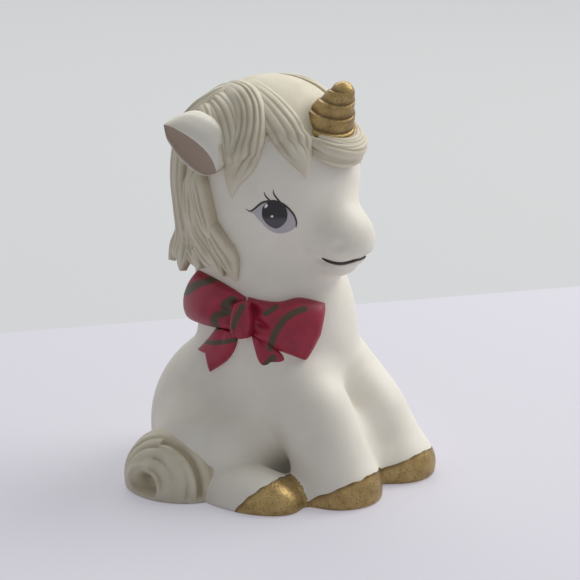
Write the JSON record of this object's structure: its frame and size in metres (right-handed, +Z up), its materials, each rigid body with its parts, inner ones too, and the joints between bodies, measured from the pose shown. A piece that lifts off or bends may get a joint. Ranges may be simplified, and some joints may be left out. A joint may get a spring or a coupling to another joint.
{
  "type": "unicorn figurine",
  "caption": "Seated foal-like unicorn in unglazed porcelain, with a gilt spiral horn and hooves, a cream mane and tail, and a red checked bow at the neck.",
  "frame": {"origin": "on the base face, at z 0, below the neck, on the middle plane of the head and body", "axes": "+Z up; the unicorn faces -Y, its right side, with the bow and the tail's curl, is -X"},
  "size_m": [0.0693, 0.0774, 0.0962],
  "materials": {
    "bisque": "unglazed warm white bisque porcelain, satin",
    "gilt": "brushed-on antique gold over porcelain",
    "hair_stain": "bisque porcelain stained cream, matt",
    "bow_enamel": "matt crimson paint with olive brown checks"
  },
  "bodies": {
    "root": {"body_shell": "bisque", "head_shell": "bisque", "right_foreleg": "bisque", "left_foreleg": "bisque", "right_hind_foot": "bisque", "left_hind_foot": "bisque", "right_ear": "bisque", "left_ear": "bisque", "right_fore_hoof": "gilt", "left_fore_hoof": "gilt", "right_hind_hoof": "gilt", "left_hind_hoof": "gilt", "horn": "gilt", "tail": "hair_stain", "right_fringe": "hair_stain", "left_fringe": "hair_stain", "back_hair": "hair_stain", "nape_mane": "hair_stain", "forelock_curl": "hair_stain", "bow_knot": "bow_enamel", "bow_back_loop": "bow_enamel", "bow_front_loop": "bow_enamel", "bow_back_tail": "bow_enamel", "bow_front_tail": "bow_enamel"}
  },
  "joints": []
}
